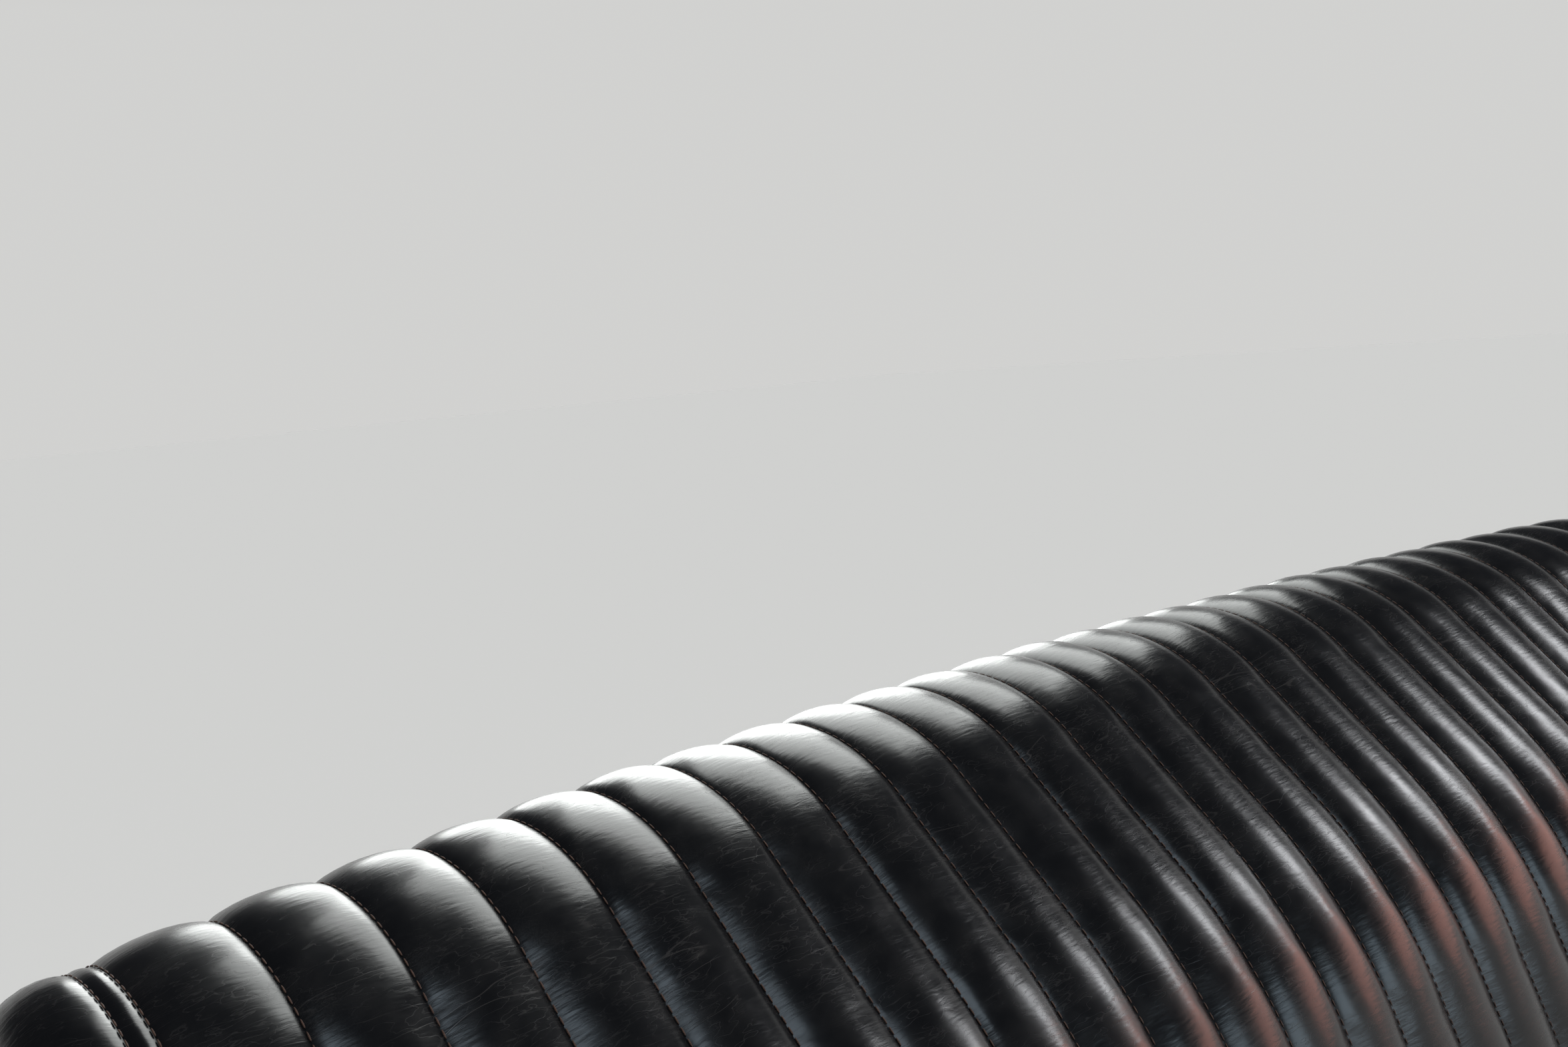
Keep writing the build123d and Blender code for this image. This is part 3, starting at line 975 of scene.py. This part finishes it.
def glossy_leather(name, mapped):
    """Near-black leather, polished by use, with fine grain and hair-thin creases."""
    finish = new_finish(name)
    place = finish.metres() if mapped else finish.place()
    wandering = finish.bent(place, 34, 0.0035)
    patches = finish.ramp(finish.noise(place, 15, 3), 0.40, 0.62)
    other_patches = finish.ramp(finish.noise(place, 24, 2), 0.44, 0.62)
    across = finish.hairlines(wandering, *across_creases)
    slanted = finish.hairlines(wandering, *slanted_creases)
    counter = finish.hairlines(wandering, *counter_creases)
    long_creases = finish.hairlines(wandering, *lengthwise_creases) * other_patches
    creases = across * patches + slanted * other_patches + counter * patches * 0.7
    grain = finish.noise(place, 900, 2)
    folds = finish.noise(finish.stretched(wandering, fold_bumps), 1.0, 2)
    streaks = finish.noise(finish.stretched(wandering, streak_bumps, streak_turn), 1.0, 2)
    height = folds * 0.09 + streaks * 0.10
    height = height - creases * 0.008 - long_creases * 0.016 + grain * 0.004
    worn = finish.noise(place, 60, 4)
    tone = finish.blend(finish.ramp(worn, 0.35, 0.75), black_low, black_high)
    # Creases painted lighter: partly wear, partly a painted highlight that stands in for the light the
    # creases catch
    tone = finish.blend(creases * 0.1 + long_creases * 0.3, tone, crease_wear_and_highlight)
    gloss = 0.22 + finish.ramp(worn, 0.3, 0.7) * 0.05 + creases * 0.08
    return finish.surface({"Base Color": tone, "Roughness": gloss, "Specular IOR Level": 0.45},
                          height, 0.001)


def grained_panel():
    """Satin black leathercloth with an even pebble grain."""
    finish = new_finish("grained_panel")
    place = finish.metres()
    pebbles = finish.node("ShaderNodeTexVoronoi", {"feature": "SMOOTH_F1"},
                          {"Vector": place, "Scale": 620})
    scuffs = finish.ramp(finish.noise(finish.stretched(place, (30, 9, 1)), 1.0, 5), 0.5, 0.75)
    tone = finish.blend(scuffs, (0.014, 0.014, 0.015, 1), (0.030, 0.029, 0.028, 1))
    return finish.surface({"Base Color": tone, "Roughness": 0.46 + scuffs * 0.14,
                           "Specular IOR Level": 0.4}, pebbles * -1.0, 0.0004)


def lining_cloth():
    """Dark brown hessian under the cushion and the backrest."""
    finish = new_finish("lining_cloth")
    place = finish.place()
    fray = finish.noise(place, 700, 2)
    threads = {"Vector": place, "Scale": 110, "Distortion": 1.5, "Detail Scale": 3}
    warp = finish.node("ShaderNodeTexWave", {"bands_direction": "X"}, threads, 1)
    weft = finish.node("ShaderNodeTexWave", {"bands_direction": "Y"}, threads, 1)
    weave = warp * 0.5 + weft * 0.5
    tone = finish.blend(weave * 0.7 + fray * 0.3, (0.030, 0.022, 0.014, 1), (0.20, 0.145, 0.085, 1))
    return finish.surface({"Base Color": tone, "Roughness": 0.85 + fray * 0.1}, weave, 0.0006)


def sewing_thread():
    """Dark brown waxed thread."""
    finish = new_finish("sewing_thread")
    twist = finish.noise(finish.place(), 1500, 1)
    tone = finish.blend(twist, (0.030, 0.016, 0.012, 1), (0.075, 0.042, 0.030, 1))
    return finish.surface({"Base Color": tone, "Roughness": 0.6 + twist * 0.15}, twist, 0.0002)


def black_enamel():
    """Satin black enamel on steel, with a little orange peel and dust."""
    finish = new_finish("black_enamel")
    place = finish.place()
    dust = finish.ramp(finish.noise(place, 26, 5), 0.5, 0.72)
    tone = finish.blend(dust, (0.016, 0.016, 0.017, 1), (0.055, 0.050, 0.044, 1))
    return finish.surface({"Base Color": tone, "Roughness": 0.30 + dust * 0.3},
                          finish.noise(place, 420, 1), 0.00015)


def bare_metal(name, light, dark, gloss, scratches):
    """Plated or bare steel with tarnish and fine scratches along Y."""
    finish = new_finish(name)
    place = finish.place()
    tarnish = finish.ramp(finish.noise(place, 34, 5), 0.35, 0.7)
    lines = finish.noise(finish.stretched(place, (900, 12, 900)), 1.0, 2)
    tone = finish.blend(tarnish, light, dark)
    return finish.surface({"Base Color": tone, "Metallic": 1.0,
                           "Roughness": gloss + tarnish * 0.16 + lines * scratches},
                          lines, 0.00005)


def stop_rubber():
    """Matt black rubber."""
    finish = new_finish("stop_rubber")
    bloom = finish.noise(finish.place(), 120, 4)
    tone = finish.blend(bloom, (0.016, 0.016, 0.016, 1), (0.040, 0.039, 0.038, 1))
    return finish.surface({"Base Color": tone, "Roughness": 0.7 + bloom * 0.2}, bloom, 0.0002)


def knob_plastic():
    """Polished black phenolic with faint swirls."""
    finish = new_finish("knob_plastic")
    swirl = finish.noise(finish.bent(finish.place(), 60, 0.02), 180, 3)
    tone = finish.blend(swirl, (0.010, 0.009, 0.009, 1), (0.022, 0.018, 0.016, 1))
    return finish.surface({"Base Color": tone, "Roughness": 0.12 + swirl * 0.1}, swirl, 0.00005)


def dress(piece, material):
    """Gives a piece one material."""
    piece.data.materials.clear()
    piece.data.materials.append(material)


leather = glossy_leather("glossy_leather", True)
plain_leather = glossy_leather("plain_leather", False)
thread = sewing_thread()
for piece in (back_pleats, cushion_pleats):
    dress(piece, leather)
for piece in ends:
    dress(piece, plain_leather)
lining = lining_cloth()
for piece in (back_pleats, cushion_pleats, *ends):
    line_underside(piece, lining)
for piece in pipings:
    dress(piece, plain_leather)
for piece in (back_thread, cushion_thread):
    dress(piece, thread)
dress(panel, grained_panel())

node_finishes = {
    "leather": plain_leather,
    "panel": plain_leather,
    "frame_paint": black_enamel(),
    "track_steel": bare_metal("zinc_plate", (0.58, 0.57, 0.55, 1), (0.34, 0.32, 0.29, 1), 0.26, 0.15),
    "spring_steel": bare_metal("oiled_steel", (0.30, 0.29, 0.28, 1), (0.12, 0.10, 0.09, 1), 0.32, 0.1),
    "bright": bare_metal("polished_chrome", (0.80, 0.80, 0.82, 1), (0.62, 0.62, 0.64, 1), 0.05, 0.03),
    "rubber": stop_rubber(),
    "knob": knob_plastic(),
}
for subpart in frame["record"]["subparts"]:
    dress(nodes[subpart["node"]], node_finishes[subpart["material_slot"]])
fittings = [(grip, "knob"), (springs, "spring_steel")]
fittings += [(bolt, "track_steel") for bolt in bolts]
fittings += [(head, "bright") for head in heads]
for piece, slot in fittings:
    dress(piece, node_finishes[slot])


# Floor, surroundings and lamps
horizon = (0.64, 0.64, 0.63, 1)
overhead = (0.03, 0.032, 0.036, 1)
ramp_low = 0.215
ramp_high = 0.33
floor_size = 80.0
floor_tone = (0.62, 0.62, 0.61, 1)
bpy.ops.object.select_all(action="DESELECT")
bpy.ops.mesh.primitive_plane_add(size=floor_size, location=(0, 0, 0))
floor = bpy.context.object
floor.name = "floor"
pale = new_finish("pale_floor")
dress(floor, pale.surface({"Base Color": floor_tone, "Roughness": 1.0,
                           "Specular IOR Level": 0.0}))

bpy.context.scene.world = bpy.data.worlds.new("studio")
studio = Finish(bpy.context.scene.world)
height = studio.node("ShaderNodeSeparateXYZ", {},
                     {0: studio.node("ShaderNodeTexCoord", {}, {}, "Generated")}, 2)
shade = studio.blend(studio.ramp(height, ramp_low, ramp_high), horizon, overhead)
studio.give(studio.tree.nodes["Background"].inputs["Color"], shade)


def lamp(name, place, aim, width, height, watts, colour):
    """A soft rectangular lamp at a place, facing the point aim."""
    data = bpy.data.lights.new(name, "AREA")
    data.shape = "RECTANGLE"
    data.size = width
    data.size_y = height
    data.energy = watts
    data.color = colour
    light = bpy.data.objects.new(name, data)
    light.location = place
    light.rotation_euler = (Vector(aim) - Vector(place)).to_track_quat("-Z", "Y").to_euler()
    light.visible_camera = False
    bpy.context.scene.collection.objects.link(light)


def sun(name, heading, rise, spread, strength, colour, glossy=True):
    """Even soft light from a compass heading, clockwise from +Y, and a rise above the floor."""
    data = bpy.data.lights.new(name, "SUN")
    data.angle = math.radians(spread)
    data.energy = strength
    data.color = colour
    light = bpy.data.objects.new(name, data)
    way = math.radians(heading)
    lift = math.radians(rise)
    towards = Vector((math.sin(way) * math.cos(lift), math.cos(way) * math.cos(lift), math.sin(lift)))
    light.rotation_euler = (-towards).to_track_quat("-Z", "Y").to_euler()
    light.visible_glossy = glossy
    bpy.context.scene.collection.objects.link(light)


# Light from behind, and light from above that is kept out of the reflections
sun("rear_light", 36, 15, 30, 1.05, (0.97, 1, 0.98))
sun("floor_light", 180, 78, 50, 2.76, (1, 1, 1), glossy=False)

# Lamps: name, place, point they face, width, height, watts and colour
lamps = (
    ("high_rear_light", (0.45, 0.95, 1.52), (-0.2, 0.1, 0.75), 0.9, 0.7, 8.5, (0.97, 1, 0.98)),
    ("side_light", (1.08, -0.08, 1.21), (0.40, 0.06, 0.72), 0.14, 0.56, 2.2, (0.95, 0.97, 1)),
    ("end_light", (0.76, 0.06, 1.08), (0.72, 0.07, 0.70), 0.22, 0.22, 0.75, (0.96, 0.97, 1)),
    ("front_light", (0.40, -1.30, 1.15), (0, 0.1, 0.65), 0.8, 0.45, 3.8, (0.68, 0.86, 1)),
    ("high_front_light", (-0.55, -0.60, 2.10), (-0.3, 0.1, 0.7), 0.7, 0.5, 3.8, (0.72, 0.87, 1)),
    ("warm_light", (1.18, -0.30, 0.85), (0.1, 0.1, 0.65), 0.7, 0.26, 1.25, (1, 0.38, 0.29)),
)
for row in lamps:
    lamp(*row)

# The camera stands in front of the seat's right end and looks over its top
camera_place = (-0.831, -0.189, 1.027)
camera_heading = math.radians(41.24)
camera_pitch = math.radians(-6.03)
camera_roll = math.radians(-4.58)
focal_pixels = 2404
picture_width = 2349
camera_data = bpy.data.cameras.new("camera")
camera_data.sensor_width = 36
camera_data.lens = camera_data.sensor_width * focal_pixels / picture_width
camera_data.clip_start = 0.02
camera = bpy.data.objects.new("camera", camera_data)
turn = Matrix.Rotation(-camera_heading, 4, "Z")
turn = turn @ Matrix.Rotation(math.pi / 2 + camera_pitch, 4, "X")
turn = turn @ Matrix.Rotation(camera_roll, 4, "Z")
camera.matrix_world = Matrix.Translation(camera_place) @ turn
bpy.context.scene.collection.objects.link(camera)
bpy.context.scene.camera = camera
bpy.context.scene.view_settings.view_transform = "Standard"
